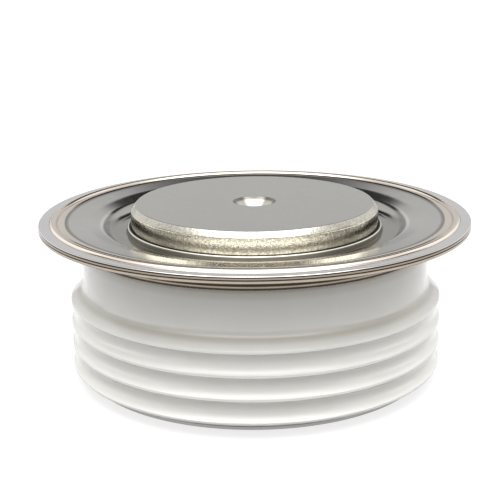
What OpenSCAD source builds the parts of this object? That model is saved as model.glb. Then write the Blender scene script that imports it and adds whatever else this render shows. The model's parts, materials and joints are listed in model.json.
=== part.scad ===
// Capsule thyristor: a silicon wafer between two copper poles, sealed in a ribbed ceramic ring.
// Millimetres, +Z up. The anode face lies on z = 0, and the gate terminal points along +Y.

/* [Poles] */
// Diameter of the contact faces
pole_d = 34; // [31:0.5:36]
// Width of the chamfer round the cathode face
chamfer_w = 0.7; // [0.3:0.05:2]
// Height of the chamfer round the cathode face
chamfer_h = 0.74; // [0.3:0.02:1.2]
// Chamfer round the anode face
foot_chamfer = 0.4; // [0.1:0.05:0.6]
// Height of the cathode face above the rim
pole_rise = 1.8; // [1.4:0.1:4]
// Height of the anode flange above the anode face
foot_h = 0.75; // [0.7:0.05:2]
// Height of the anode pole
anode_pole_h = 9.6; // [8.5:0.1:10.5]
// Width of the shoulders that the two sheets are brazed to
shoulder_w = 1.7; // [1.2:0.1:2]
// Thickness of the cathode pole's shoulder
shoulder_t = 1.8; // [1:0.1:2.5]
// Diameter of the locating holes
hole_d = 3.5; // [3:0.1:4]
// Depth of the locating holes
hole_depth = 2.6; // [2.2:0.1:3.4]
// Width and depth of the countersink on a locating hole
sink_w = 1.15; // [0.2:0.05:2]

/* [Rim and membrane] */
// Outer diameter of the double rim
rim_d = 59; // [57.5:0.5:64]
// Width of the flat outside the bead
rim_w = 1.5; // [1:0.1:2]
// Thickness of the membrane
membrane_t = 0.5; // [0.3:0.05:0.6]
// Thickness of the weld ring
ring_t = 0.5; // [0.3:0.05:0.6]
// Width of each of the two bead ridges
ridge_w = 1.1; // [0.8:0.05:1.4]
// Height of the outer ridge above the rim
ridge_h = 0.32; // [0.1:0.02:0.45]
// Height of the inner ridge above the rim
inner_ridge_h = 0.12; // [0.1:0.02:0.4]
// Drop from the rim to the membrane's bend
bend_drop = 0.8; // [0.3:0.05:1]
// Drop from the rim to the trough floor
trough_drop = 1.9; // [1.4:0.1:2.2]
// Width of the trough floor
trough_w = 2.95; // [2.2:0.05:3.1]
// Width of the trough's sloping side
rise_w = 0.8; // [0.8:0.05:2.2]
// Height of the lip round the pole, above the trough floor
lip_h = 0.75; // [0.45:0.05:1]
// Height of the weld ring's flare from skirt to rim
flare_h = 1.15; // [0.8:0.05:1.4]
// Lap of the weld ring's skirt on the ceramic
skirt_lap = 0.65; // [0.5:0.05:2]
// Thickness of the anode flange
flange_t = 0.45; // [0.3:0.05:0.6]

/* [Ceramic] */
// Height of the ceramic ring
ceramic_h = 18.3; // [18:0.1:26]
// Diameter of the plain band
band_d = 47.6; // [46.4:0.2:49]
// Wall between the plain band and the bore
ceramic_wall = 3.2; // [2.6:0.1:3.6]
// Diameter over the ribs
rib_d = 51.3; // [50:0.1:54]
// Number of ribs
rib_count = 4; // [2:1:4]
// Spacing of the ribs
rib_pitch = 3.08; // [2.6:0.02:3.2]
// Height of the flat land left on each rib
rib_land = 0.3; // [0.2:0.02:0.6]
// Depth of the grooves between the ribs
groove_depth = 0.75; // [0.4:0.05:1]
// Height of the lowest rib above the ceramic's foot
rib_foot = 1; // [0.7:0.05:1.5]
// Height of the slope from the top rib to the plain band
rib_slope = 1.6; // [1.2:0.1:2]

/* [Wafer stack] */
// Diameter of the silicon wafer
wafer_d = 31; // [29:0.2:32]
// Thickness of the silicon wafer
wafer_t = 0.5; // [0.3:0.05:0.8]
// Width of the bevel on the wafer's edge
bevel_w = 0.6; // [0.3:0.05:1]
// Thickness of the molybdenum carrier under the wafer
anode_disc_t = 2; // [1.5:0.1:2.5]
// Diameter of the molybdenum disc on the cathode side
cathode_disc_d = 26; // [24:0.2:27]
// Thickness of the molybdenum disc on the cathode side
cathode_disc_t = 1; // [0.8:0.05:1.5]
// Diameter of the gate window in the cathode disc
window_d = 5.2; // [4:0.1:6]
// Thickness of the silver foils
foil_t = 0.2; // [0.1:0.02:0.3]
// Height of the silicone seal above the wafer
seal_h = 0.7; // [0.4:0.05:0.9]
// Height of the centring ring
centring_h = 5.7; // [4.5:0.1:6.5]

/* [Gate] */
// Diameter of the free end of the gate terminal
terminal_d = 1.47; // [1.2:0.01:1.6]
// Length of the free end of the gate terminal
terminal_l = 3.2; // [2.5:0.1:3.8]
// Outer diameter of the eyelet in the ceramic
eyelet_d = 3; // [2.6:0.1:3.4]
// Length of the eyelet outside the plain band
eyelet_out = 1.8; // [1:0.1:2.5]
// Diameter of the gate lead
lead_d = 0.8; // [0.5:0.05:1]
// Diameter of the sleeve on the lead
sleeve_d = 1.8; // [1.5:0.05:2]
// Height of the lead above the cathode pole's inner face
lead_rise = 2.3; // [2:0.1:2.6]
// Diameter of the gate plunger
plunger_d = 2.9; // [2.4:0.1:3.2]
// Diameter of the gate plunger's tip
tip_d = 1.8; // [1.2:0.1:2]
// Diameter of the insulating bush
bush_d = 6.1; // [5.5:0.1:6.6]
// Height of the gate spring
spring_h = 1.6; // [1.4:0.1:2]
// Turns of the gate spring
spring_turns = 3; // [2:0.5:3]
// Diameter of the spring's wire
spring_wire = 0.36; // [0.25:0.01:0.4]

/* [Hidden] */
$fn = 96;
// Play round brazed and seated pieces
seat = 0.05;
// Play round loose pieces
clear = 0.3;

// Radii of the outside
pole_r = pole_d / 2;
rim_r = rim_d / 2;
band_r = band_d / 2;
rib_r = rib_d / 2;
bore_r = band_r - ceramic_wall;
hole_r = hole_d / 2;
shoulder_r = pole_r + shoulder_w;

// Heights of the outside, from the anode face up
ceramic_z0 = foot_h + flange_t;
ceramic_z1 = ceramic_z0 + ceramic_h;
trough_z = ceramic_z1 + clear + membrane_t;
rim_z = trough_z + trough_drop;
ring_z1 = rim_z - membrane_t;
cathode_z1 = rim_z + pole_rise;
shoulder_z = trough_z - membrane_t;

// Heights of the stack, from the anode pole up
anode_disc_z = anode_pole_h + foil_t;
wafer_z0 = anode_disc_z + anode_disc_t;
wafer_z1 = wafer_z0 + wafer_t;
cathode_foil_z = wafer_z1 + cathode_disc_t;
cathode_z0 = cathode_foil_z + foil_t;

// Radii of the stack
wafer_r = wafer_d / 2;
seal_w = 0.5;
anode_disc_r = wafer_r + seal_w;
anode_land_r = anode_disc_r - clear;
cathode_disc_r = cathode_disc_d / 2;
seal_bore_r = cathode_disc_r + 2 * clear;
window_r = window_d / 2;
centring_bore_r = anode_disc_r + 2 * seat;
centring_z0 = anode_pole_h - 2.1;

// Cathode pole inside the housing
contact_h = 1.2;
cathode_body_r = cathode_disc_r + 2.6;

// Gate line, which runs along +Y
lead_z = cathode_z0 + lead_rise;
lead_r = lead_d / 2;
sleeve_r = sleeve_d / 2;
slot_w = sleeve_d + 2 * clear;
plunger_r = plunger_d / 2;
plunger_head = 0.8;
plunger_z1 = lead_z + lead_r + plunger_head;
tip_h = 0.8;
bush_r = bush_d / 2;
bush_cap = 1;
bush_z0 = cathode_z0 + 2 * seat;
bush_z1 = plunger_z1 + spring_h + bush_cap;
shank_r = terminal_d / 2 + 0.165;
eyelet_r = eyelet_d / 2;
eyelet_y0 = bore_r - 0.7;
eyelet_y1 = band_r + eyelet_out;
terminal_y0 = eyelet_y0 - 0.5;
terminal_y1 = eyelet_y1 + terminal_l;
terminal_tip = 0.2;

// Bead ridges, which run into each other
outer_ridge_r = rim_r - rim_w - ridge_w / 2;
inner_ridge_r = outer_ridge_r - 0.9 * ridge_w;

// Place of the knee in the membrane's slope, as shares of the slope's width and height
knee_w = 0.42;
knee_h = 0.57;

// Bends of the formed sheets and edges of the ceramic
lip_bend = 0.3;
trough_bend = 1.6;
crest_bend = 1;
knee_bend = 8;
rim_bend = 2;
ring_bend = 0.8;
ceramic_edge = 0.3;
cove_r = 1.3;
foot_r = band_r + 0.2;
arc_steps = 8;

// Shape of the spring's sweep
spring_sides = 8;
spring_steps = 24;

nickel = [0.76, 0.75, 0.71];
molybdenum = [0.55, 0.56, 0.58];

function unit(v) = v / norm(v);
function flat(p) = [p.x, p.y];
function left_of(v) = [-v.y, v.x];
function reversed(list) = [for (i = [len(list) - 1:-1:0]) list[i]];

// Arc that rounds the corner at b, where b is [x, y, radius], between its neighbours a and c
function corner_arc(a, b, c) =
    b.z <= 0 ? [flat(b)] :
    let (
        to_a = unit(flat(a) - flat(b)),
        to_c = unit(flat(c) - flat(b)),
        half = acos(to_a * to_c) / 2,
        centre = flat(b) + unit(to_a + to_c) * b.z / sin(half),
        start = flat(b) + to_a * b.z / tan(half) - centre,
        finish = flat(b) + to_c * b.z / tan(half) - centre,
        a0 = atan2(start.y, start.x),
        sweep = (atan2(finish.y, finish.x) - a0 + 540) % 360 - 180
    )
    [for (i = [0:arc_steps]) centre + b.z * [cos(a0 + sweep * i / arc_steps), sin(a0 + sweep * i / arc_steps)]];

// Open path through corners of [x, y, radius], with each inner corner rounded
function rounded_path(corners) =
    let (last = len(corners) - 1)
    [for (i = [0:last]) each
        i == 0 || i == last ? [flat(corners[i])] : corner_arc(corners[i - 1], corners[i], corners[i + 1])];

// Closed outline through corners of [x, y, radius]
function rounded_outline(corners) =
    let (n = len(corners))
    [for (i = [0:n - 1]) each corner_arc(corners[(i + n - 1) % n], corners[i], corners[(i + 1) % n])];

// The same path moved to its left by a distance, with the bend radii to match
function moved_path(corners, distance) =
    let (last = len(corners) - 1)
    [for (i = [0:last])
        let (
            before = unit(flat(corners[max(i, 1)]) - flat(corners[max(i, 1) - 1])),
            after = unit(flat(corners[min(i, last - 1) + 1]) - flat(corners[min(i, last - 1)])),
            mitre = (left_of(before) + left_of(after)) / (1 + before * after),
            turn = sign(cross(before, after))
        )
        [corners[i].x + mitre.x * distance, corners[i].y + mitre.y * distance, corners[i].z - turn * distance]];

// Section of a formed sheet of thickness t, whose middle follows the corners
module sheet_section(corners, t) {
    upper = rounded_path(moved_path(corners, t / 2));
    lower = rounded_path(moved_path(corners, -t / 2));
    polygon(concat(upper, reversed(lower)));
}

// Ridge of circular section that stands on the rim
module ridge_section(r, w, h) {
    radius = (w * w / 4 + h * h) / (2 * h);
    intersection() {
        translate([r, rim_z + h - radius]) circle(radius);
        translate([r - w, rim_z - membrane_t / 2]) square([2 * w, membrane_t / 2 + h]);
    }
}

// Blind locating hole with a countersunk mouth at z = 0, going down
module locating_hole() {
    translate([0, 0, -hole_depth]) cylinder(h = hole_depth + clear, r = hole_r);
    translate([0, 0, -sink_w]) cylinder(h = sink_w, r1 = hole_r, r2 = hole_r + sink_w);
}

// Flat disc or washer from z0 up
module washer(z0, t, r, bore = 0) {
    translate([0, 0, z0])
        difference() {
            cylinder(h = t, r = r);
            if (bore > 0) translate([0, 0, -t]) cylinder(h = 3 * t, r = bore);
        }
}

// Round bar along the gate line, from y0 to y1
module gate_bar(y0, y1, r) {
    translate([0, y0, lead_z]) rotate([-90, 0, 0]) cylinder(h = y1 - y0, r = r);
}

// Lower pole: foot, shoulder for the flange, and the land that carries the stack
module anode_pole() {
    color(nickel)
        difference() {
            rotate_extrude()
                polygon([
                    [0, 0],
                    [pole_r - foot_chamfer, 0],
                    [pole_r, foot_chamfer],
                    [pole_r, ceramic_z0],
                    [shoulder_r, ceramic_z0],
                    [shoulder_r, centring_z0],
                    [anode_land_r, centring_z0],
                    [anode_land_r, anode_pole_h],
                    [0, anode_pole_h]
                ]);
            mirror([0, 0, 1]) locating_hole();
        }
}

// Thin sheet between the lower pole's shoulder and the ceramic's foot
module anode_flange() {
    color(nickel) washer(foot_h, flange_t, foot_r, pole_r + seat);
}

// Grooves between neighbouring ribs
module rib_grooves() {
    half_chord = (rib_pitch - rib_land) / 2;
    groove_r = (half_chord * half_chord + groove_depth * groove_depth) / (2 * groove_depth);
    for (i = [0:rib_count - 2])
        translate([rib_r - groove_depth + groove_r, ceramic_z0 + rib_foot + (i + 0.5) * rib_pitch]) circle(groove_r);
}

// Ribbed ring with a plain band, bored for the eyelet
module ceramic_housing() {
    top_rib_z = ceramic_z0 + rib_foot + (rib_count - 1) * rib_pitch;
    color("ivory")
        difference() {
            rotate_extrude()
                difference() {
                    polygon(rounded_outline([
                        [bore_r, ceramic_z0, 0],
                        [foot_r, ceramic_z0, 0],
                        [rib_r, ceramic_z0 + rib_foot - rib_land / 2, ceramic_edge],
                        [rib_r, top_rib_z + rib_land / 2, ceramic_edge],
                        [band_r, top_rib_z + rib_slope, cove_r],
                        [band_r, ceramic_z1, ceramic_edge],
                        [bore_r, ceramic_z1, ceramic_edge]
                    ]));
                    rib_grooves();
                }
            gate_bar(0, rib_r, eyelet_r + seat);
        }
}

// Lower sheet of the rim, flared down to a skirt round the top of the ceramic
module weld_ring() {
    skirt_r = band_r + seat + ring_t / 2;
    middle_z = ring_z1 - ring_t / 2;
    color(nickel)
        rotate_extrude()
            sheet_section([
                [skirt_r, ceramic_z1 - skirt_lap, 0],
                [skirt_r, middle_z - flare_h, ring_bend],
                [inner_ridge_r, middle_z, ring_bend],
                [rim_r, middle_z, 0]
            ], ring_t);
}

// Upper sheet: lip, trough, bend, slope and rim, with the two ridges of the bead
module cathode_membrane() {
    lip_r = pole_r + seat + membrane_t / 2;
    trough_r = pole_r + seat + trough_w;
    middle = membrane_t / 2;
    crest_r = trough_r + rise_w;
    crest_z = rim_z - bend_drop - middle;
    slope_w = inner_ridge_r - 0.6 * ridge_w - crest_r;
    color(nickel)
        union() {
            rotate_extrude()
                sheet_section([
                    [lip_r, trough_z + lip_h, 0],
                    [lip_r, trough_z - middle, lip_bend],
                    [trough_r, trough_z - middle, trough_bend],
                    [crest_r, crest_z, crest_bend],
                    [crest_r + knee_w * slope_w, crest_z + knee_h * bend_drop, knee_bend],
                    [crest_r + slope_w, rim_z - middle, rim_bend],
                    [rim_r, rim_z - middle, 0]
                ], membrane_t);
            rotate_extrude() ridge_section(outer_ridge_r, ridge_w, ridge_h);
            rotate_extrude() ridge_section(inner_ridge_r, ridge_w, inner_ridge_h);
        }
}

// Upper pole: shoulder for the membrane, contact step, bore for the bush and slot for the lead
module cathode_pole() {
    slot_h = lead_rise + sleeve_r + clear;
    color(nickel)
        difference() {
            rotate_extrude()
                polygon([
                    [0, cathode_z0],
                    [cathode_disc_r, cathode_z0],
                    [cathode_disc_r, cathode_z0 + contact_h],
                    [cathode_body_r, cathode_z0 + contact_h],
                    [cathode_body_r, shoulder_z - shoulder_t],
                    [shoulder_r, shoulder_z - shoulder_t],
                    [shoulder_r, shoulder_z],
                    [pole_r, shoulder_z],
                    [pole_r, cathode_z1 - chamfer_h],
                    [pole_r - chamfer_w, cathode_z1],
                    [0, cathode_z1]
                ]);
            translate([0, 0, cathode_z1]) locating_hole();
            translate([0, 0, cathode_z0 - clear]) cylinder(h = bush_z1 - cathode_z0 + clear, r = bush_r + seat);
            translate([-slot_w / 2, 0, cathode_z0 - clear]) cube([slot_w, shoulder_r, slot_h + clear]);
        }
}

// Silver foil on the anode pole
module anode_foil() {
    color("gainsboro") washer(anode_pole_h, foil_t, anode_land_r);
}

// Molybdenum carrier of the wafer
module anode_disc() {
    color(molybdenum) washer(anode_disc_z, anode_disc_t, anode_disc_r);
}

// Silicon wafer with a bevelled edge
module silicon_wafer() {
    color("slategray")
        translate([0, 0, wafer_z0]) cylinder(h = wafer_t, r1 = wafer_r, r2 = wafer_r - bevel_w);
}

// Silicone ring that covers the wafer's bevel
module edge_seal() {
    color("white")
        rotate_extrude()
            polygon([
                [wafer_r, wafer_z0],
                [anode_disc_r, wafer_z0],
                [anode_disc_r, wafer_z1 + seal_h],
                [seal_bore_r, wafer_z1 + seal_h],
                [seal_bore_r, wafer_z1],
                [wafer_r - bevel_w, wafer_z1]
            ]);
}

// Molybdenum disc with the gate window
module cathode_disc() {
    color(molybdenum) washer(wafer_z1, cathode_disc_t, cathode_disc_r, window_r);
}

// Silver foil under the cathode pole
module cathode_foil() {
    color("gainsboro") washer(cathode_foil_z, foil_t, cathode_disc_r, window_r);
}

// Plastic ring that centres the stack on the anode pole
module centring_ring() {
    color("linen") washer(centring_z0, centring_h, bore_r - clear, centring_bore_r);
}

// Gate contact with a tapered tip, cross-drilled for the lead
module gate_plunger() {
    color("silver")
        difference() {
            rotate_extrude()
                polygon([
                    [0, wafer_z1],
                    [tip_d / 2, wafer_z1],
                    [plunger_r, wafer_z1 + tip_h],
                    [plunger_r, plunger_z1],
                    [0, plunger_z1]
                ]);
            gate_bar(0, plunger_d, lead_r + seat);
        }
}

// Point on the spring's wire, from the turn and the side of its section
function spring_point(turn, side) =
    let (
        mean_r = plunger_r - spring_wire / 2 - seat,
        rise = spring_h - spring_wire - 2 * seat,
        around = 360 * side / spring_sides,
        r = mean_r + spring_wire / 2 * cos(around),
        z = plunger_z1 + seat + spring_wire / 2 * (1 + sin(around)) + rise * turn / spring_turns
    )
    [r * cos(360 * turn), r * sin(360 * turn), z];

// Coil spring behind the plunger
module gate_spring() {
    rings = spring_turns * spring_steps;
    points = [for (i = [0:rings], side = [0:spring_sides - 1]) spring_point(i / spring_steps, side)];
    walls = [for (i = [0:rings - 1], side = [0:spring_sides - 1])
        let (next = (side + 1) % spring_sides, here = i * spring_sides, ahead = here + spring_sides)
        [here + side, ahead + side, ahead + next, here + next]];
    start_cap = [for (side = [0:spring_sides - 1]) side];
    end_cap = [for (side = [spring_sides - 1:-1:0]) rings * spring_sides + side];
    color("lightsteelblue") polyhedron(points, concat(walls, [start_cap, end_cap]));
}

// Insulating cup that guides the plunger and the spring
module gate_bush() {
    color("lightyellow")
        difference() {
            washer(bush_z0, bush_z1 - bush_z0, bush_r);
            translate([0, 0, bush_z0 - clear])
                cylinder(h = plunger_z1 + spring_h - bush_z0 + clear, r = plunger_r + seat);
            gate_bar(0, bush_d, sleeve_r + seat);
        }
}

// Wire from the plunger to the terminal
module gate_lead() {
    color("tan") gate_bar(0, terminal_y0, lead_r);
}

// Insulating sleeve on the wire
module lead_sleeve() {
    color("seashell")
        difference() {
            gate_bar(plunger_r + clear, terminal_y0 - clear, sleeve_r);
            gate_bar(0, terminal_y0, lead_r + seat);
        }
}

// Metal tube brazed into the ceramic wall
module gate_eyelet() {
    color(nickel)
        difference() {
            gate_bar(eyelet_y0, eyelet_y1, eyelet_r);
            gate_bar(0, rim_r, shank_r + seat);
        }
}

// Pin sealed in the eyelet, with a free end for a receptacle
module gate_terminal() {
    terminal_r = terminal_d / 2;
    color("gold")
        translate([0, 0, lead_z])
            rotate([-90, 0, 0])
                rotate_extrude()
                    polygon([
                        [0, terminal_y0],
                        [shank_r, terminal_y0],
                        [shank_r, eyelet_y1],
                        [terminal_r, eyelet_y1],
                        [terminal_r, terminal_y1 - terminal_tip],
                        [terminal_r - terminal_tip, terminal_y1],
                        [0, terminal_y1]
                    ]);
}

anode_pole();
anode_flange();
ceramic_housing();
weld_ring();
cathode_membrane();
cathode_pole();
anode_foil();
anode_disc();
silicon_wafer();
edge_seal();
cathode_disc();
cathode_foil();
centring_ring();
gate_plunger();
gate_spring();
gate_bush();
gate_lead();
lead_sleeve();
gate_eyelet();
gate_terminal();
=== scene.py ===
"""Looks of the capsule thyristor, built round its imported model. Metres, +Z up; the camera stands at -Y."""
import json
import math

import bmesh
import bpy
from mathutils import Matrix, Vector


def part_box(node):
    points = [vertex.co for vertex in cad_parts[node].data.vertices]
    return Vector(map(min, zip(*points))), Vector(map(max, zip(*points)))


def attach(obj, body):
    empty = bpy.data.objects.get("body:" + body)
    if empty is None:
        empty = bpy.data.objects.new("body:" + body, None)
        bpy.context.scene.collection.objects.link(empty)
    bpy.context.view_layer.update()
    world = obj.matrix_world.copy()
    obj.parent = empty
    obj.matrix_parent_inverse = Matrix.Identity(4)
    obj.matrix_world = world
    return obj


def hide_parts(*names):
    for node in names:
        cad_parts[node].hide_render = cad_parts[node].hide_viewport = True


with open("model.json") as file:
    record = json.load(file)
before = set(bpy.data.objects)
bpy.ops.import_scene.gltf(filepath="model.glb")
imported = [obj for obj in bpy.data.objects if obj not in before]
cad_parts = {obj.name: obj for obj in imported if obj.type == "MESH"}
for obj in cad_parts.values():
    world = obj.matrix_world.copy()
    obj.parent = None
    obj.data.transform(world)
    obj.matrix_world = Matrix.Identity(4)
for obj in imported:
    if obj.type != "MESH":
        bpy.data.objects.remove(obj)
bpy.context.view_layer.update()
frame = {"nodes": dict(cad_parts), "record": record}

MM = 0.001

# Sections of the turned and pressed pieces, in millimetres, to match the solids.
# KNEE_W and KNEE_H are shares of the slope's width and rise.
POLE_R = 17.0
CHAMFER_W = 0.7
CHAMFER_H = 0.74
FOOT_CHAMFER = 0.4
HOLE_R = 1.75
HOLE_DEPTH = 2.6
SINK_W = 1.15
SHOULDER_R = 18.7
SHOULDER_T = 1.8
SEAT = 0.05
CLEAR = 0.3
SHEET_T = 0.5
TROUGH_DROP = 1.9
TROUGH_W = 2.95
RISE_W = 0.8
BEND_DROP = 0.8
KNEE_W = 0.42
KNEE_H = 0.57
LIP_H = 0.75
RIM_W = 1.5
RIDGE_W = 1.1
RIDGE_H = 0.32
INNER_RIDGE_H = 0.12
RIDGE_PITCH = 0.9 * RIDGE_W
SLOPE_GAP = 0.6 * RIDGE_W
FLARE_H = 1.15
BORE_R = 20.6
BAND_R = 23.8
FOOT_R = 24.0
RIB_COUNT = 4
RIB_PITCH = 3.08
RIB_FOOT = 1.0
RIB_LAND = 0.3
RIB_SLOPE = 1.6
GROOVE_DEPTH = 0.75
CONTACT_H = 1.2
CONTACT_R = 13.0
BODY_R = 15.6
LAND_R = 15.7
SLOT_H = 3.5
PIN_STEP = 0.165
PIN_TIP = 0.2

# Small rounds on the edges of the turned and pressed pieces
TURNED_EDGE = 0.12
WALL_EDGE = 0.25
FACE_EDGE = 0.2
SINK_EDGE = 0.08
HOLE_EDGE = 0.1
FOOT_EDGE = 0.1
SHEET_EDGE = 0.06
RIM_EDGE = 0.2
LIP_EDGE = 0.24
CERAMIC_EDGE = 0.3
SHANK_EDGE = 0.05
PIN_EDGE = 0.1
TUBE_EDGE = 0.15

# Bends along the middle of the formed sheets, and the cove of the ceramic
LIP_BEND = 0.3
TROUGH_BEND = 1.6
CREST_BEND = 1.0
KNEE_BEND = 8.0
SLOPE_BEND = 2.0
FLARE_BEND = 0.8
COVE_R = 1.3

# Fineness of the meshes, the radius that counts as on the axis and the angle that shades as an edge
SEGMENTS = 320
ARC_STEPS = 5
GROOVE_STEPS = 14
BEAD_STEPS = 48
ON_AXIS = 1e-9
SHARP_ANGLE = math.radians(40)

# Finishes: depth of the surface grain in millimetres, scales of shared noises in bumps per metre, and
# a colour that leaves others as they are
GRAIN_DEPTH = 0.02
CLOUDS = 90
METAL_GLOSS = 1400
SHEET_GLOSS = 700
WHITE = (1.0, 1.0, 1.0)


def top_mm(node):
    """Highest point of a CAD node, in millimetres."""
    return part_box(node)[1][2] / MM


def bottom_mm(node):
    """Lowest point of a CAD node, in millimetres."""
    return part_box(node)[0][2] / MM


def reach_mm(node):
    """Largest y of a CAD node, in millimetres, which is its radius where it is round."""
    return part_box(node)[1][1] / MM


RIM_R = reach_mm("cathode_membrane")
RIB_R = reach_mm("ceramic_housing")
CATHODE_TOP = top_mm("cathode_pole")
CATHODE_FACE = bottom_mm("cathode_pole")
CERAMIC_FOOT = bottom_mm("ceramic_housing")
CERAMIC_TOP = top_mm("ceramic_housing")
RING_TOP = top_mm("weld_ring")
RIM_TOP = RING_TOP + SHEET_T
TROUGH_Z = RIM_TOP - TROUGH_DROP
LEAD_Z = (top_mm("gate_lead") + bottom_mm("gate_lead")) / 2
OUTER_RIDGE_R = RIM_R - RIM_W - RIDGE_W / 2
INNER_RIDGE_R = OUTER_RIDGE_R - RIDGE_PITCH
SLOTS = {part["node"]: part["material_slot"] for part in frame["record"]["subparts"]}


# Profiles: lists of (radius, height) points, worked out from corners of (radius, height, rounding)
def corner_arc(before, corner, after):
    """Points of the arc that rounds a corner between its two neighbours."""
    here = Vector(corner[:2])
    radius = corner[2]
    if radius <= 0:
        return [here]
    to_before = (Vector(before[:2]) - here).normalized()
    to_after = (Vector(after[:2]) - here).normalized()
    half = to_before.angle(to_after) / 2
    centre = here + (to_before + to_after).normalized() * (radius / math.sin(half))
    start = here + to_before * (radius / math.tan(half)) - centre
    finish = here + to_after * (radius / math.tan(half)) - centre
    first = math.atan2(start.y, start.x)
    sweep = (math.atan2(finish.y, finish.x) - first + math.pi) % (2 * math.pi) - math.pi
    angles = [first + sweep * i / ARC_STEPS for i in range(ARC_STEPS + 1)]
    return [centre + radius * Vector((math.cos(a), math.sin(a))) for a in angles]


def open_profile(corners):
    """Rounded path that keeps its first and last points."""
    points = [Vector(corners[0][:2])]
    for before, corner, after in zip(corners, corners[1:], corners[2:]):
        points += corner_arc(before, corner, after)
    return points + [Vector(corners[-1][:2])]


def closed_profile(corners):
    """Rounded outline through all the corners."""
    count = len(corners)
    points = []
    for i, corner in enumerate(corners):
        points += corner_arc(corners[i - 1], corner, corners[(i + 1) % count])
    return points


def lathe(name, points, closed):
    """Turns a profile round the z axis. An open profile starts and ends on the axis."""
    bm = bmesh.new()
    turns = [2 * math.pi * i / SEGMENTS for i in range(SEGMENTS)]
    rings = []
    for point in points:
        radius = point.x * MM
        height = point.y * MM
        if point.x < ON_AXIS:
            ring = [bm.verts.new((0, 0, height))] * SEGMENTS
        else:
            ring = [bm.verts.new((radius * math.cos(a), radius * math.sin(a), height)) for a in turns]
        rings.append(ring)
    pairs = list(zip(rings, rings[1:]))
    if closed:
        pairs.append((rings[-1], rings[0]))
    for lower, upper in pairs:
        for i in range(SEGMENTS):
            j = (i + 1) % SEGMENTS
            corners = list(dict.fromkeys((lower[i], lower[j], upper[j], upper[i])))
            if len(corners) > 2:
                bm.faces.new(corners)
    bmesh.ops.recalc_face_normals(bm, faces=bm.faces)
    mesh = bpy.data.meshes.new(name)
    bm.to_mesh(mesh)
    bm.free()
    piece = bpy.data.objects.new(name, mesh)
    bpy.context.collection.objects.link(piece)
    return piece


def along_gate(piece):
    """Lays a piece turned about z along the gate line, which runs along +Y."""
    piece.data.transform(Matrix.Translation((0, 0, LEAD_Z * MM)) @ Matrix.Rotation(-math.pi / 2, 4, "X"))


def cut(piece, tool):
    """Takes a tool's volume out of a piece."""
    modifier = piece.modifiers.new("cut", "BOOLEAN")
    modifier.operation = "DIFFERENCE"
    modifier.solver = "EXACT"
    modifier.object = tool
    depsgraph = bpy.context.evaluated_depsgraph_get()
    piece.data = bpy.data.meshes.new_from_object(piece.evaluated_get(depsgraph))
    piece.modifiers.clear()
    bpy.data.objects.remove(tool)


def gate_cutter(name, start, end, radius):
    """Round bar along the gate line, used as a tool."""
    corners = [(0, start, 0), (radius, start, 0), (radius, end, 0), (0, end, 0)]
    tool = lathe(name, open_profile(corners), closed=False)
    along_gate(tool)
    return tool


def finish_piece(piece, node, material):
    """Shades a piece, gives it its material and lets it stand for its CAD node."""
    piece.data.polygons.foreach_set("use_smooth", [True] * len(piece.data.polygons))
    piece.data.set_sharp_from_angle(angle=SHARP_ANGLE)
    weighted = piece.modifiers.new("weighted", "WEIGHTED_NORMAL")
    weighted.keep_sharp = True
    piece.data.materials.clear()
    piece.data.materials.append(material)
    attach(piece, "root")
    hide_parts(node)


# Materials
def new_material(name):
    """A material with its node tree and its shader."""
    material = bpy.data.materials.new(name)
    material.use_nodes = True
    return material, material.node_tree, material.node_tree.nodes["Principled BSDF"]


def add(tree, kind, **inputs):
    """Adds a node and sets its inputs by name."""
    node = tree.nodes.new(kind)
    for name, value in inputs.items():
        node.inputs[name.replace("_", " ")].default_value = value
    return node


def position(tree):
    """Place on the piece, in metres."""
    return add(tree, "ShaderNodeTexCoord").outputs["Object"]


def noise(tree, scale, detail=3.0, rough=0.55):
    """Noise over the piece, from about 0 to 1; scale is in bumps per metre."""
    node = add(tree, "ShaderNodeTexNoise", Scale=scale, Detail=detail, Roughness=rough)
    tree.links.new(position(tree), node.inputs["Vector"])
    return node.outputs["Fac"]


def ramp(tree, source, stops):
    """Colour ramp with stops of (place, colour)."""
    node = tree.nodes.new("ShaderNodeValToRGB")
    elements = node.color_ramp.elements
    while len(elements) < len(stops):
        elements.new(1.0)
    for element, (place, colour) in zip(elements, stops):
        element.position = place
        element.color = (*colour, 1.0)
    tree.links.new(source, node.inputs["Fac"])
    return node.outputs["Color"]


def gray_ramp(tree, source, stops):
    """Colour ramp whose stops are (place, value)."""
    return ramp(tree, source, [(place, (value,) * 3) for place, value in stops])


def scaled(tree, source, low, high):
    """A value between 0 and 1, spread from low to high."""
    node = add(tree, "ShaderNodeMapRange")
    node.inputs["To Min"].default_value = low
    node.inputs["To Max"].default_value = high
    tree.links.new(source, node.inputs["Value"])
    return node.outputs["Result"]


def share_between(tree, source, start_mm, end_mm):
    """A length in metres, as a share of the way between two lengths in millimetres."""
    share = add(tree, "ShaderNodeMapRange")
    share.inputs["From Min"].default_value = start_mm * MM
    share.inputs["From Max"].default_value = end_mm * MM
    tree.links.new(source, share.inputs["Value"])
    return share.outputs["Result"]


def radius_share(tree, start_mm, end_mm):
    """Distance from the axis, as a share of the way between two radii."""
    flat = tree.nodes.new("ShaderNodeVectorMath")
    flat.operation = "MULTIPLY"
    flat.inputs[1].default_value = (1, 1, 0)
    tree.links.new(position(tree), flat.inputs[0])
    length = tree.nodes.new("ShaderNodeVectorMath")
    length.operation = "LENGTH"
    tree.links.new(flat.outputs["Vector"], length.inputs[0])
    return share_between(tree, length.outputs["Value"], start_mm, end_mm)


def height_share(tree, start_mm, end_mm):
    """Height, as a share of the way between two heights."""
    split = tree.nodes.new("ShaderNodeSeparateXYZ")
    tree.links.new(position(tree), split.inputs["Vector"])
    return share_between(tree, split.outputs["Z"], start_mm, end_mm)


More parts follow.
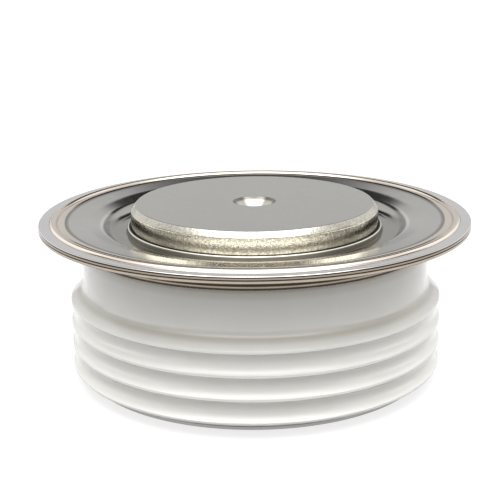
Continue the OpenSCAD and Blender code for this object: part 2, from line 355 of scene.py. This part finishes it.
def painted(tree, source, start_mm, end_mm, stops):
    """Colours along a share of the way between two lengths; stops are (millimetres, colour)."""
    span = end_mm - start_mm
    return ramp(tree, source, [((place - start_mm) / span, colour) for place, colour in stops])


def mixed(tree, share, first, second, blend="MIX"):
    """Two colours mixed by a share, which is a value or a socket."""
    node = tree.nodes.new("ShaderNodeMix")
    node.data_type = "RGBA"
    node.blend_type = blend
    if isinstance(share, float):
        node.inputs["Factor"].default_value = share
    else:
        tree.links.new(share, node.inputs["Factor"])
    tree.links.new(first, node.inputs["A"])
    tree.links.new(second, node.inputs["B"])
    return node.outputs["Result"]


def multiply(tree, first, second):
    """Product of two colours."""
    return mixed(tree, 1.0, first, second, "MULTIPLY")


def maths(tree, operation, first, second):
    """Result of an operation on two inputs, each a value or a socket."""
    node = tree.nodes.new("ShaderNodeMath")
    node.operation = operation
    for place, value in enumerate((first, second)):
        if isinstance(value, (int, float)):
            node.inputs[place].default_value = value
        else:
            tree.links.new(value, node.inputs[place])
    return node.outputs["Value"]


def bump(tree, shader, source, strength):
    """Raises the surface by a texture."""
    node = add(tree, "ShaderNodeBump", Strength=strength, Distance=GRAIN_DEPTH * MM)
    tree.links.new(source, node.inputs["Height"])
    tree.links.new(node.outputs["Normal"], shader.inputs["Normal"])


def dimmed(colour, share):
    """A colour at a share of its brightness."""
    return [channel * share for channel in colour]


def uneven_gloss(tree, shader, scale, low, high):
    """Roughness that wanders from low to high over the surface."""
    tree.links.new(scaled(tree, noise(tree, scale), low, high), shader.inputs["Roughness"])


def metal(name, colour, roughness, grain, spread=0.05, relief=0.1):
    """Metal with a slightly uneven tone, a roughness that wanders by its spread, and a grain in relief."""
    material, tree, shader = new_material(name)
    shader.inputs["Metallic"].default_value = 1.0
    tone = scaled(tree, noise(tree, 320), low=0.92, high=1.06)
    tinted = ramp(tree, noise(tree, CLOUDS), [(0.3, colour), (0.7, dimmed(colour, 0.97))])
    tree.links.new(multiply(tree, tinted, tone), shader.inputs["Base Color"])
    uneven_gloss(tree, shader, METAL_GLOSS, roughness - spread, roughness + spread)
    bump(tree, shader, noise(tree, grain, detail=4.0, rough=0.6), relief)
    return material


def pole_plate():
    """Satin nickel: smooth and gray on the contact face, warmer and speckled on the chamfer and the wall."""
    material, tree, shader = new_material("pole_nickel")
    shader.inputs["Metallic"].default_value = 1.0
    speckle = 3600
    face_r = POLE_R - CHAMFER_W
    sink_r = HOLE_R + SINK_W
    side = gray_ramp(tree, radius_share(tree, face_r - 0.3, face_r + 0.1), [(0.7, 0.0), (1.0, 1.0)])
    face = ramp(tree, noise(tree, CLOUDS), [(0.3, (0.68, 0.67, 0.64)), (0.7, (0.66, 0.65, 0.61))])
    wall = ramp(tree, noise(tree, speckle), [(0.42, (0.88, 0.83, 0.70)), (0.58, (0.64, 0.59, 0.47))])
    chamfer = ramp(tree, noise(tree, speckle), [(0.42, (0.61, 0.585, 0.51)), (0.58, (0.48, 0.45, 0.38))])
    edge_z = CATHODE_TOP - CHAMFER_H
    upper = gray_ramp(tree, height_share(tree, edge_z - 0.1, edge_z + 0.1), [(0.4, 0.0), (0.8, 1.0)])
    side_colour = mixed(tree, upper, wall, chamfer)
    sink = painted(tree, radius_share(tree, HOLE_R, sink_r), HOLE_R, sink_r, [
        (HOLE_R, (0.62, 0.61, 0.56)),
        (sink_r - 0.45, (0.52, 0.50, 0.45)),
        (sink_r - 0.2, (0.17, 0.155, 0.13)),
        (sink_r, (0.24, 0.22, 0.19)),
    ])
    past_sink = gray_ramp(tree, radius_share(tree, sink_r, face_r), [(0.0, 0.0), (0.01, 1.0)])
    face = mixed(tree, past_sink, sink, face)
    tree.links.new(mixed(tree, side, face, side_colour), shader.inputs["Base Color"])
    uneven_gloss(tree, shader, METAL_GLOSS, low=0.14, high=0.22)
    grain = noise(tree, 2600, detail=2.0, rough=0.6)
    grain = maths(tree, "MULTIPLY", grain, scaled(tree, side, low=0.05, high=1.0))
    bump(tree, shader, grain, strength=1.0)
    return material


def edge_lines(tree):
    """Colours down the cut edge of the double rim: a painted highlight on each sheet, painted shade along
    the top and bottom edges, and a dark line at the seam that is partly the joint and partly painted shade.
    """
    dark = (0.035, 0.026, 0.016)
    tan = (0.34, 0.29, 0.23)
    pink = (0.46, 0.40, 0.34)
    rim = (0.72, 0.70, 0.69)
    seam = RING_TOP
    low = seam - 0.6
    return painted(tree, height_share(tree, low, RIM_TOP), low, RIM_TOP, [
        (seam - 0.5, dark),
        (seam - 0.42, dark),
        (seam - 0.36, pink),
        (seam - 0.16, pink),
        (seam - 0.06, dark),
        (seam + 0.03, dark),
        (seam + 0.09, tan),
        (seam + 0.22, tan),
        (seam + 0.28, dark),
        (seam + 0.37, dark),
        (seam + 0.43, rim),
    ])


def with_cut_edge(tree, colours):
    """Colours of a sheet that give way to the lines of the double rim at its cut edge."""
    edge = gray_ramp(tree, radius_share(tree, RIM_R - RIM_EDGE, RIM_R), [(0.3, 0.0), (0.5, 1.0)])
    return mixed(tree, edge, colours, edge_lines(tree))


def nickel_sheet():
    """Bright nickel sheet with painted highlights on the lip and the crest, painted shade in the gap by the
    pole, on the lip's outer face, in the trough, at the bend and along the bead's feet and between its
    ridges, and a coppery bead.
    """
    material, tree, shader = new_material("nickel_sheet")
    gap_shade = (0.03, 0.025, 0.02)
    silver = (0.68, 0.67, 0.64)
    lip = (0.98, 0.96, 0.91)
    lip_face_shade = (0.28, 0.265, 0.22)
    trough_shade = (0.40, 0.39, 0.36)
    shade = (0.34, 0.33, 0.305)
    crest = (0.90, 0.89, 0.86)
    dark = (0.28, 0.25, 0.22)
    copper = (0.98, 0.88, 0.77)
    valley_shade = (0.80, 0.70, 0.60)
    brown = (0.62, 0.54, 0.47)
    rim = (0.95, 0.93, 0.93)
    lip_r = POLE_R + SEAT + SHEET_T / 2
    trough_r = POLE_R + SEAT + TROUGH_W
    crest_r = trough_r + RISE_W
    foot = INNER_RIDGE_R - RIDGE_W / 2
    middle = (INNER_RIDGE_R + OUTER_RIDGE_R) / 2
    outer = OUTER_RIDGE_R + RIDGE_W / 2
    shader.inputs["Metallic"].default_value = 1.0
    # Painted light on the sheet: the gap, olive, pan, shade, dark, valley and brown stops are painted shade
    # in gaps, hollows and creases; the lip and crest stops are painted highlights.
    rings = painted(tree, radius_share(tree, POLE_R, RIM_R), POLE_R, RIM_R, [
        (lip_r, gap_shade),
        (lip_r + 0.06, lip),
        (lip_r + 0.14, lip),
        (lip_r + 0.2, lip_face_shade),
        (lip_r + 0.3, lip_face_shade),
        (lip_r + 0.5, trough_shade),
        (trough_r + 0.1, trough_shade),
        (crest_r - 0.1, shade),
        (crest_r + 0.1, crest),
        (crest_r + 0.3, crest),
        (crest_r + 0.6, silver),
        (foot - 0.55, silver),
        (foot - 0.3, shade),
        (foot - 0.08, dark),
        (foot + 0.02, dark),
        (foot + 0.08, copper),
        (middle - 0.12, copper),
        (middle, valley_shade),
        (middle + 0.12, copper),
        (outer - 0.1, copper),
        (outer + 0.02, brown),
        (outer + 0.14, rim),
    ])
    tone = scaled(tree, noise(tree, 260), low=0.92, high=1.05)
    tree.links.new(multiply(tree, with_cut_edge(tree, rings), tone), shader.inputs["Base Color"])
    dull = gray_ramp(tree, radius_share(tree, lip_r, lip_r + 0.5), [(0.6, 0.3), (1.0, 0.0)])
    gloss = scaled(tree, noise(tree, SHEET_GLOSS), low=0.08, high=0.16)
    gloss = maths(tree, "ADD", gloss, dull)
    tree.links.new(gloss, shader.inputs["Roughness"])
    bump(tree, shader, noise(tree, 900, rough=0.5), strength=0.05)
    return material


def ring_sheet():
    """Brown sheet under the rim, darkened by painted shade under the rim's overhang, with a painted
    highlight line round the skirt and the painted lines of the rim's cut edge.
    """
    material, tree, shader = new_material("ring_sheet")
    brown = (0.05, 0.04, 0.028)
    shade = (0.04, 0.03, 0.02)
    tan = (0.33, 0.29, 0.23)
    shader.inputs["Metallic"].default_value = 1.0
    foot = bottom_mm("weld_ring")
    # The brown and shade stops are painted shade under the rim; the tan stop is a painted highlight.
    skirt = painted(tree, height_share(tree, foot, RING_TOP), foot, RING_TOP, [
        (foot + 0.22, brown),
        (foot + 0.34, tan),
        (foot + 0.4, tan),
        (foot + 0.52, shade),
    ])
    tone = scaled(tree, noise(tree, 500), low=0.8, high=1.15)
    tree.links.new(multiply(tree, with_cut_edge(tree, skirt), tone), shader.inputs["Base Color"])
    uneven_gloss(tree, shader, SHEET_GLOSS, low=0.2, high=0.34)
    bump(tree, shader, noise(tree, 1400, rough=0.5), strength=0.1)
    return material


def glazed_alumina():
    """White glaze, darker and warmer in the cove and the grooves as painted shade, with a painted shadow
    close under the skirt.
    """
    material, tree, shader = new_material("glazed_alumina")
    glaze = ramp(tree, noise(tree, 160), [(0.3, (0.87, 0.86, 0.83)), (0.7, (0.84, 0.83, 0.79))])
    under_skirt = bottom_mm("weld_ring")
    # Painted shadow on the ceramic, growing darker up to the foot of the skirt.
    skirt_shadow_h = 1.6
    skirt_shadow = ramp(tree, height_share(tree, under_skirt - skirt_shadow_h, under_skirt), [
        (0.0, WHITE),
        (0.6, (0.84, 0.81, 0.76)),
        (1.0, (0.36, 0.32, 0.27)),
    ])
    # Painted shade by radius in the cove and the inner part of the grooves.
    cove_and_groove_shade = ramp(tree, radius_share(tree, BAND_R, RIB_R), [
        (0.0, WHITE),
        (0.08, (0.92, 0.9, 0.86)),
        (0.3, (0.8, 0.775, 0.72)),
        (0.45, (0.84, 0.82, 0.77)),
        (0.6, (0.93, 0.925, 0.91)),
        (0.85, (0.97, 0.97, 0.96)),
        (0.97, WHITE),
    ])
    tree.links.new(multiply(tree, multiply(tree, glaze, skirt_shadow), cove_and_groove_shade), shader.inputs["Base Color"])
    uneven_gloss(tree, shader, scale=300, low=0.14, high=0.22)
    shader.inputs["Coat Weight"].default_value = 0.3
    shader.inputs["Coat Roughness"].default_value = 0.06
    bump(tree, shader, noise(tree, 500), strength=0.03)
    return material


def plastic(name, colour, roughness):
    """Matte plastic or rubber with a faint mottle."""
    material, tree, shader = new_material(name)
    spread = 0.06
    tinted = ramp(tree, noise(tree, 400), [(0.3, colour), (0.7, dimmed(colour, 0.94))])
    tree.links.new(tinted, shader.inputs["Base Color"])
    uneven_gloss(tree, shader, scale=1500, low=roughness - spread, high=roughness + spread)
    return material


# Turned and pressed pieces
def cathode_pole(material):
    """Upper pole with its locating hole, chamfer, shoulder and contact step."""
    shoulder_z = TROUGH_Z - SHEET_T
    piece = lathe("cathode_pole_turned", open_profile([
        (0, CATHODE_FACE, 0),
        (CONTACT_R, CATHODE_FACE, TURNED_EDGE),
        (CONTACT_R, CATHODE_FACE + CONTACT_H, TURNED_EDGE),
        (BODY_R, CATHODE_FACE + CONTACT_H, TURNED_EDGE),
        (BODY_R, shoulder_z - SHOULDER_T, TURNED_EDGE),
        (SHOULDER_R, shoulder_z - SHOULDER_T, TURNED_EDGE),
        (SHOULDER_R, shoulder_z, TURNED_EDGE),
        (POLE_R, shoulder_z, TURNED_EDGE),
        (POLE_R, CATHODE_TOP - CHAMFER_H, WALL_EDGE),
        (POLE_R - CHAMFER_W, CATHODE_TOP, FACE_EDGE),
        (HOLE_R + SINK_W, CATHODE_TOP, SINK_EDGE),
        (HOLE_R, CATHODE_TOP - SINK_W, SINK_EDGE),
        (HOLE_R, CATHODE_TOP - HOLE_DEPTH, HOLE_EDGE),
        (0, CATHODE_TOP - HOLE_DEPTH, 0),
    ]), closed=False)
    bush_r = reach_mm("gate_bush") + SEAT
    bush_top = top_mm("gate_bush")
    tool_bottom = CATHODE_FACE - CLEAR
    bore = lathe("bore", open_profile([
        (0, tool_bottom, 0),
        (bush_r, tool_bottom, 0),
        (bush_r, bush_top, 0),
        (0, bush_top, 0),
    ]), closed=False)
    cut(piece, bore)
    sleeve_r = (top_mm("lead_sleeve") - bottom_mm("lead_sleeve")) / 2
    half_w = sleeve_r + CLEAR
    slot_low = Vector((-half_w, 0, tool_bottom)) * MM
    slot_high = Vector((half_w, SHOULDER_R, CATHODE_FACE + SLOT_H)) * MM
    bpy.ops.mesh.primitive_cube_add(size=1, location=(slot_low + slot_high) / 2)
    slot = bpy.context.object
    slot.scale = slot_high - slot_low
    bpy.context.view_layer.update()
    cut(piece, slot)
    finish_piece(piece, "cathode_pole", material)


def anode_pole(material):
    """Lower pole with its foot, its shoulder and the land under the stack."""
    land_z = top_mm("anode_pole")
    seat_z = bottom_mm("centring_ring")
    piece = lathe("anode_pole_turned", open_profile([
        (0, HOLE_DEPTH, 0),
        (HOLE_R, HOLE_DEPTH, HOLE_EDGE),
        (HOLE_R, SINK_W, SINK_EDGE),
        (HOLE_R + SINK_W, 0, SINK_EDGE),
        (POLE_R - FOOT_CHAMFER, 0, FOOT_EDGE),
        (POLE_R, FOOT_CHAMFER, FOOT_EDGE),
        (POLE_R, CERAMIC_FOOT, 0),
        (SHOULDER_R, CERAMIC_FOOT, TURNED_EDGE),
        (SHOULDER_R, seat_z, TURNED_EDGE),
        (LAND_R, seat_z, TURNED_EDGE),
        (LAND_R, land_z, TURNED_EDGE),
        (0, land_z, 0),
    ]), closed=False)
    finish_piece(piece, "anode_pole", material)


def anode_flange(material):
    """Flat sheet between the lower pole and the ceramic."""
    low = bottom_mm("anode_flange")
    inner = POLE_R + SEAT
    piece = lathe("anode_flange_sheet", closed_profile([
        (inner, low, SHEET_EDGE),
        (FOOT_R, low, SHEET_EDGE),
        (FOOT_R, CERAMIC_FOOT, SHEET_EDGE),
        (inner, CERAMIC_FOOT, SHEET_EDGE),
    ]), closed=True)
    finish_piece(piece, "anode_flange", material)


def rib_wall():
    """Outer wall of the ribs from the foot up, with a circular groove between neighbours."""
    half_chord = (RIB_PITCH - RIB_LAND) / 2
    groove_r = (half_chord ** 2 + GROOVE_DEPTH ** 2) / (2 * GROOVE_DEPTH)
    centre_r = RIB_R - GROOVE_DEPTH + groove_r
    half_angle = math.asin(half_chord / groove_r)
    points = []
    for i in range(RIB_COUNT - 1):
        centre_z = CERAMIC_FOOT + RIB_FOOT + (i + 0.5) * RIB_PITCH
        for k in range(GROOVE_STEPS + 1):
            turn = half_angle * (2 * k / GROOVE_STEPS - 1)
            points.append((centre_r - groove_r * math.cos(turn), centre_z + groove_r * math.sin(turn), 0))
    return points


def ceramic_housing(material):
    """Glazed ring with its ribs, plain band and hole for the eyelet."""
    top_rib_z = CERAMIC_FOOT + RIB_FOOT + (RIB_COUNT - 1) * RIB_PITCH
    piece = lathe("ceramic_housing_glazed", closed_profile([
        (BORE_R, CERAMIC_FOOT, 0),
        (FOOT_R, CERAMIC_FOOT, 0),
        (RIB_R, CERAMIC_FOOT + RIB_FOOT - RIB_LAND / 2, CERAMIC_EDGE),
        *rib_wall(),
        (RIB_R, top_rib_z + RIB_LAND / 2, CERAMIC_EDGE),
        (BAND_R, top_rib_z + RIB_SLOPE, COVE_R),
        (BAND_R, CERAMIC_TOP, CERAMIC_EDGE),
        (BORE_R, CERAMIC_TOP, CERAMIC_EDGE),
    ]), closed=True)
    eyelet_r = (top_mm("gate_eyelet") - bottom_mm("gate_eyelet")) / 2
    cut(piece, gate_cutter("eyelet_hole", 0, RIB_R, eyelet_r + SEAT))
    finish_piece(piece, "ceramic_housing", material)


def sheet_sides(corners, thickness):
    """Both faces of a formed sheet, from the corners of its middle line and their bends."""
    sides = []
    for distance in (thickness / 2, -thickness / 2):
        side = []
        for i, corner in enumerate(corners):
            here = Vector(corner[:2])
            previous = Vector(corners[max(i, 1) - 1][:2])
            following = Vector(corners[min(i + 1, len(corners) - 1)][:2])
            before = (here - previous).normalized() if i else (following - here).normalized()
            after = (following - here).normalized() if i < len(corners) - 1 else before
            left = Vector((-before.y - after.y, before.x + after.x)) / (1 + before.dot(after))
            turn = before.x * after.y - before.y * after.x
            bend = corner[2] - math.copysign(distance, turn) if corner[2] and turn else corner[2]
            moved = here + left * distance
            side.append((moved.x, moved.y, max(bend, 0)))
        sides.append(side)
    return sides


def weld_ring(material):
    """Lower sheet of the rim, flared down to its skirt."""
    skirt_r = BAND_R + SEAT + SHEET_T / 2
    middle = RING_TOP - SHEET_T / 2
    upper, lower = sheet_sides([
        (skirt_r, bottom_mm("weld_ring"), 0),
        (skirt_r, middle - FLARE_H, FLARE_BEND),
        (INNER_RIDGE_R, middle, FLARE_BEND),
        (RIM_R, middle, 0),
    ], SHEET_T)
    upper[0] = (*upper[0][:2], SHEET_EDGE)
    lower[0] = (*lower[0][:2], SHEET_EDGE)
    upper[-1] = (*upper[-1][:2], SHEET_EDGE)
    lower[-1] = (*lower[-1][:2], RIM_EDGE)
    piece = lathe("weld_ring_formed", closed_profile(upper + lower[::-1]), closed=True)
    finish_piece(piece, "weld_ring", material)


def ridge_height(r):
    """Height of the bead's two ridges above the rim at a radius."""
    height = 0.0
    for centre, peak in ((OUTER_RIDGE_R, RIDGE_H), (INNER_RIDGE_R, INNER_RIDGE_H)):
        radius = (RIDGE_W ** 2 / 4 + peak ** 2) / (2 * peak)
        offset = abs(r - centre)
        if offset < RIDGE_W / 2:
            height = max(height, math.sqrt(radius ** 2 - offset ** 2) - radius + peak)
    return height


def bead():
    """Points across the bead, from its inner foot to its outer foot."""
    start = INNER_RIDGE_R - RIDGE_W / 2
    end = OUTER_RIDGE_R + RIDGE_W / 2
    radii = [start + (end - start) * i / BEAD_STEPS for i in range(BEAD_STEPS + 1)]
    return [(r, RIM_TOP + ridge_height(r), 0) for r in radii]


def cathode_membrane(material):
    """Upper sheet with its lip, trough, bend, slope, bead and rim."""
    half = SHEET_T / 2
    lip_r = POLE_R + SEAT + half
    trough_r = POLE_R + SEAT + TROUGH_W
    crest_r = trough_r + RISE_W
    crest_z = RIM_TOP - BEND_DROP - half
    slope_w = INNER_RIDGE_R - SLOPE_GAP - crest_r
    upper, lower = sheet_sides([
        (lip_r, TROUGH_Z + LIP_H, 0),
        (lip_r, TROUGH_Z - half, LIP_BEND),
        (trough_r, TROUGH_Z - half, TROUGH_BEND),
        (crest_r, crest_z, CREST_BEND),
        (crest_r + KNEE_W * slope_w, crest_z + KNEE_H * BEND_DROP, KNEE_BEND),
        (crest_r + slope_w, RIM_TOP - half, SLOPE_BEND),
        (RIM_R, RIM_TOP - half, 0),
    ], SHEET_T)
    upper[0] = (*upper[0][:2], LIP_EDGE)
    lower[0] = (*lower[0][:2], LIP_EDGE)
    upper[-1] = (*upper[-1][:2], RIM_EDGE)
    lower[-1] = (*lower[-1][:2], SHEET_EDGE)
    outline = upper[:-1] + bead() + upper[-1:] + lower[::-1]
    piece = lathe("cathode_membrane_formed", closed_profile(outline), closed=True)
    finish_piece(piece, "cathode_membrane", material)


def gate_eyelet(material):
    """Tube brazed into the ceramic wall."""
    low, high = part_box("gate_eyelet")
    radius = (high[2] - low[2]) / 2 / MM
    shank_r = (top_mm("gate_terminal") - bottom_mm("gate_terminal")) / 2 + SEAT
    start, end = low[1] / MM, high[1] / MM
    piece = lathe("gate_eyelet_tube", closed_profile([
        (shank_r, start, SHANK_EDGE),
        (radius, start, PIN_EDGE),
        (radius, end, TUBE_EDGE),
        (shank_r, end, PIN_EDGE),
    ]), closed=True)
    along_gate(piece)
    finish_piece(piece, "gate_eyelet", material)


def gate_terminal(material):
    """Pin with a thicker shank in the eyelet and a rounded free end."""
    low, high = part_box("gate_terminal")
    shank_r = (high[2] - low[2]) / 2 / MM
    pin_r = shank_r - PIN_STEP
    start, end = low[1] / MM, high[1] / MM
    step = reach_mm("gate_eyelet")
    piece = lathe("gate_terminal_pin", open_profile([
        (0, start, 0),
        (shank_r, start, SHANK_EDGE),
        (shank_r, step, SHANK_EDGE),
        (pin_r, step, SHANK_EDGE),
        (pin_r, end - PIN_TIP, PIN_EDGE),
        (pin_r - PIN_TIP, end, PIN_EDGE),
        (0, end, 0),
    ]), closed=False)
    along_gate(piece)
    finish_piece(piece, "gate_terminal", material)


# Stage: floor, light and camera
def floor():
    """Pale floor that keeps the shadow and shows white in the picture and in what reflects it."""
    glow = 0.75
    bpy.ops.mesh.primitive_grid_add(x_subdivisions=8, y_subdivisions=8, size=6.0, location=(0, 0, 0))
    plane = bpy.context.object
    plane.name = "floor"
    material, tree, shader = new_material("floor_paper")
    paper = ramp(tree, noise(tree, 4), [(0.3, (0.31, 0.31, 0.31)), (0.7, (0.29, 0.29, 0.29))])
    tree.links.new(paper, shader.inputs["Base Color"])
    shader.inputs["Roughness"].default_value = 0.9
    shader.inputs["Specular IOR Level"].default_value = 0.1
    rays = tree.nodes.new("ShaderNodeLightPath")
    seen = maths(tree, "MAXIMUM", rays.outputs["Is Camera Ray"], rays.outputs["Is Glossy Ray"])
    seen = maths(tree, "MAXIMUM", seen, rays.outputs["Is Transmission Ray"])
    shader.inputs["Emission Color"].default_value = (1, 1, 1, 1)
    tree.links.new(maths(tree, "MULTIPLY", seen, glow), shader.inputs["Emission Strength"])
    plane.data.materials.append(material)


def studio_world():
    """Soft studio surroundings: a broad light high in front and at the sides, and a gray wall behind.

    The first four ramps are brightness over the height of a direction. The last three say where they show,
    over the turn from the back (0) past the front (0.5) to the back again (1).
    """
    world = bpy.data.worlds.new("studio")
    bpy.context.scene.world = world
    world.use_nodes = True
    tree = world.node_tree
    split = tree.nodes.new("ShaderNodeSeparateXYZ")
    tree.links.new(add(tree, "ShaderNodeTexCoord").outputs["Generated"], split.inputs["Vector"])
    height = split.outputs["Z"]
    ahead = maths(tree, "MULTIPLY", split.outputs["Y"], -1.0)
    turn = maths(tree, "ARCTAN2", split.outputs["X"], ahead)
    turn = maths(tree, "ADD", maths(tree, "DIVIDE", turn, 2 * math.pi), 0.5)
    front = gray_ramp(tree, height, [
        (0.0, 0.15), (0.2, 0.2), (0.3, 0.45), (0.46, 0.5),
        (0.55, 1.4), (0.7, 1.6), (0.8, 4.6), (0.93, 4.6), (1.0, 1.8)])
    sides = gray_ramp(tree, height, [
        (0.0, 2.4), (0.14, 2.4), (0.2, 0.15), (0.55, 0.15),
        (0.64, 0.8), (0.82, 1.3), (0.88, 3.8), (0.94, 3.8), (1.0, 1.8)])
    corners = gray_ramp(tree, height, [
        (0.0, 0.8), (0.1, 1.0), (0.65, 1.05), (0.75, 0.8), (0.85, 0.9), (0.92, 1.4), (1.0, 1.8)])
    back = gray_ramp(tree, height, [
        (0.0, 0.6), (0.06, 0.42), (0.12, 0.48), (0.2, 0.6), (0.37, 0.57),
        (0.42, 0.03), (0.68, 0.02), (0.78, 0.4), (0.9, 0.9), (1.0, 1.8)])
    behind = gray_ramp(tree, turn, [(0.055, 1.0), (0.09, 0.0), (0.91, 0.0), (0.945, 1.0)])
    before = gray_ramp(tree, turn, [(0.31, 0.0), (0.39, 1.0), (0.61, 1.0), (0.69, 0.0)])
    beside = gray_ramp(tree, turn, [(0.18, 0.0), (0.21, 1.0), (0.79, 1.0), (0.82, 0.0)])
    around = mixed(tree, beside, corners, sides)
    around = mixed(tree, behind, around, back)
    around = mixed(tree, before, around, front)
    background = tree.nodes["Background"]
    tree.links.new(around, background.inputs["Color"])
    background.inputs["Strength"].default_value = 1.0


def camera():
    """Camera at the photograph's place; its yaw, pitch and roll are written in degrees."""
    place = Vector((0, -151.5, 59.89)) * MM
    yaw, pitch, roll = (math.radians(a) for a in (-0.256, 15.812, -0.658))
    ahead = Vector((math.sin(yaw) * math.cos(pitch), math.cos(yaw) * math.cos(pitch), -math.sin(pitch)))
    level = Vector((math.cos(yaw), -math.sin(yaw), 0))
    upright = level.cross(ahead)
    right = level * math.cos(roll) + upright * math.sin(roll)
    up = upright * math.cos(roll) - level * math.sin(roll)
    data = bpy.data.cameras.new("camera")
    data.sensor_width = 36.0
    data.lens = 81.22
    data.clip_start = 0.005
    data.clip_end = 20.0
    eye = bpy.data.objects.new("camera", data)
    turn = Matrix((right, up, -ahead)).transposed().to_4x4()
    eye.matrix_world = Matrix.Translation(place) @ turn
    bpy.context.collection.objects.link(eye)
    bpy.context.scene.camera = eye


camera()
studio_world()
floor()

pole_nickel = pole_plate()
sheet_nickel = nickel_sheet()
ring_brown = ring_sheet()
ceramic = glazed_alumina()
# The anode flange's dark gray is painted shade for the gap under the ceramic's foot.
flange_gray = metal("flange_nickel", (0.34, 0.33, 0.32), roughness=0.3, grain=2200, spread=0.06)
gold = metal("gate_gold", (0.85, 0.68, 0.38), roughness=0.22, grain=3000, relief=0.08)

cathode_pole(pole_nickel)
anode_pole(pole_nickel)
anode_flange(flange_gray)
ceramic_housing(ceramic)
weld_ring(ring_brown)
cathode_membrane(sheet_nickel)
gate_eyelet(sheet_nickel)
gate_terminal(gold)

# Pieces inside the housing keep their solids; the terminal shares a metal with some of them
inner_materials = {
    "silver_foil": metal("silver_foil", (0.88, 0.88, 0.86), roughness=0.35, grain=2500, spread=0.06),
    "molybdenum": metal("molybdenum", (0.45, 0.46, 0.48), roughness=0.3, grain=2800),
    "silicon": metal("silicon", (0.26, 0.28, 0.32), roughness=0.12, grain=1500, spread=0.04, relief=0.02),
    "silicone": plastic("silicone", (0.82, 0.82, 0.80), roughness=0.5),
    "ptfe": plastic("ptfe", (0.88, 0.87, 0.84), roughness=0.55),
    "gate_metal": gold,
    "spring_steel": metal("spring_steel", (0.6, 0.62, 0.66), roughness=0.25, grain=2600, relief=0.08),
}
for node_name, slot_name in SLOTS.items():
    if slot_name in inner_materials and node_name != "gate_terminal":
        solid = frame["nodes"][node_name]
        solid.data.materials.clear()
        solid.data.materials.append(inner_materials[slot_name])

bpy.context.scene.view_settings.view_transform = "Standard"
bpy.context.view_layer.update()
